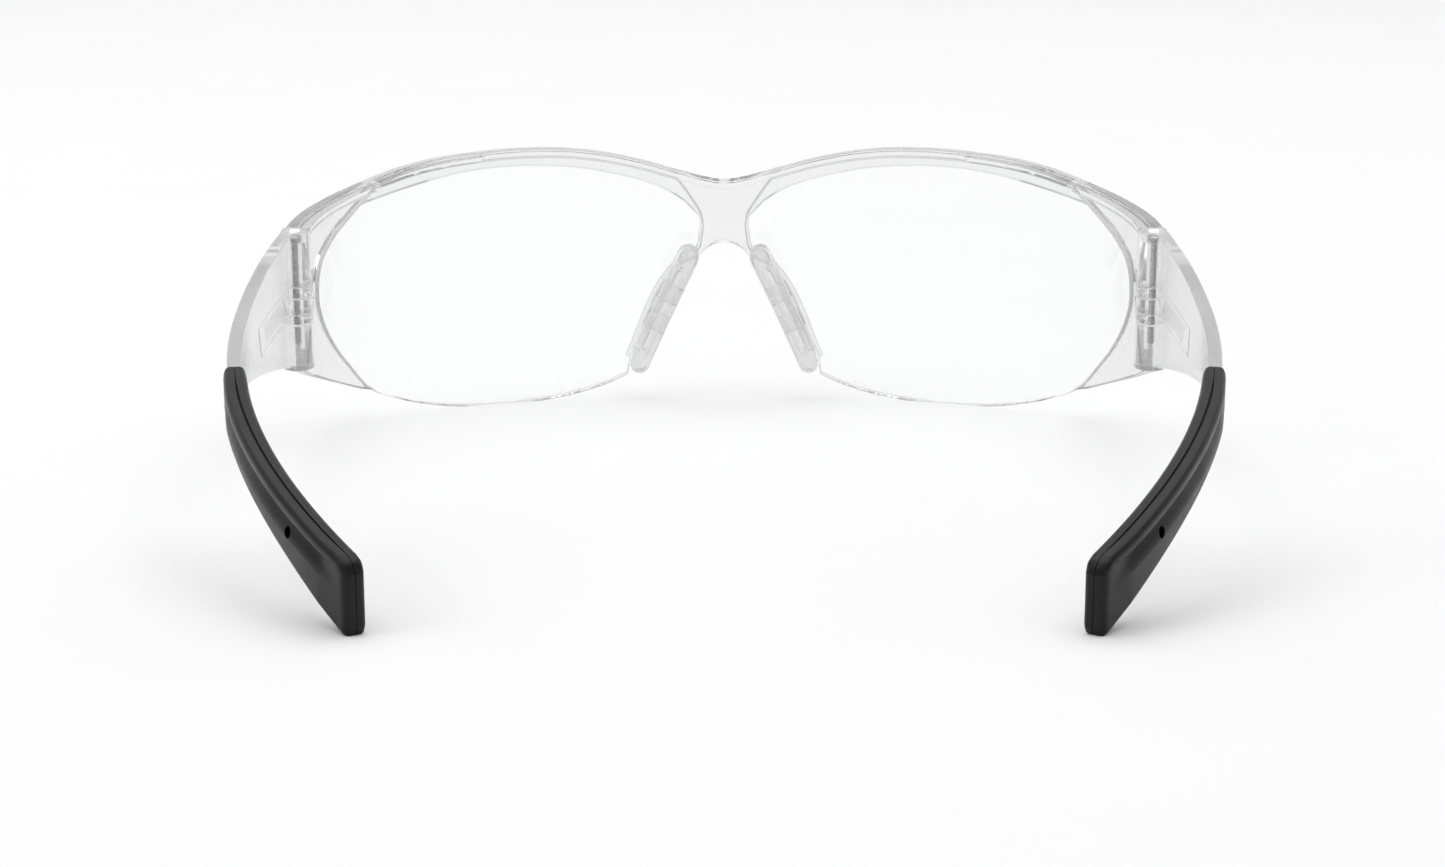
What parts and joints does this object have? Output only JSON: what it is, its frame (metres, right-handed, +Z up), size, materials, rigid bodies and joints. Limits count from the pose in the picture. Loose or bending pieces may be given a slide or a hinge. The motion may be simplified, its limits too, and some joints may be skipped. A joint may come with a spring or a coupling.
{
  "type": "safety glasses",
  "caption": "Clear wrap-around safety glasses with a half-rim front, soft nose pads and folding temples that end in black rubber sleeves.",
  "frame": {"origin": "centre of the bounding box at the plane the open glasses stand on", "axes": "+Y from the temple tips towards the front, +Z up, +X towards the wearer's right"},
  "size_m": [0.148, 0.162, 0.045],
  "materials": {
    "clear_frame": "polished clear polycarbonate with a faint grey tint",
    "clear_lens": "polished clear polycarbonate",
    "soft_clear": "satin clear elastomer",
    "black_rubber": "matte, finely textured",
    "screw_steel": "plain steel"
  },
  "bodies": {
    "front": {"front_frame": "clear_frame", "lens_left": "clear_lens", "lens_right": "clear_lens", "nose_pad_left": "soft_clear", "nose_pad_right": "soft_clear"},
    "left_temple": {"temple_left": "clear_frame", "tip_sleeve_left": "black_rubber", "hinge_screw_left": "screw_steel"},
    "right_temple": {"temple_right": "clear_frame", "tip_sleeve_right": "black_rubber", "hinge_screw_right": "screw_steel"}
  },
  "joints": [
    {"name": "left_temple_fold", "type": "hinge", "parent": "front", "child": "left_temple", "pos_m": [-0.07025, 0.03856, 0.02414], "axis": [0, -0.0992, 0.9951], "range_deg": [0, 88]},
    {"name": "right_temple_fold", "type": "hinge", "parent": "front", "child": "right_temple", "pos_m": [0.07025, 0.03856, 0.02414], "axis": [0, 0.0992, -0.9951], "range_deg": [0, 75]}
  ]
}
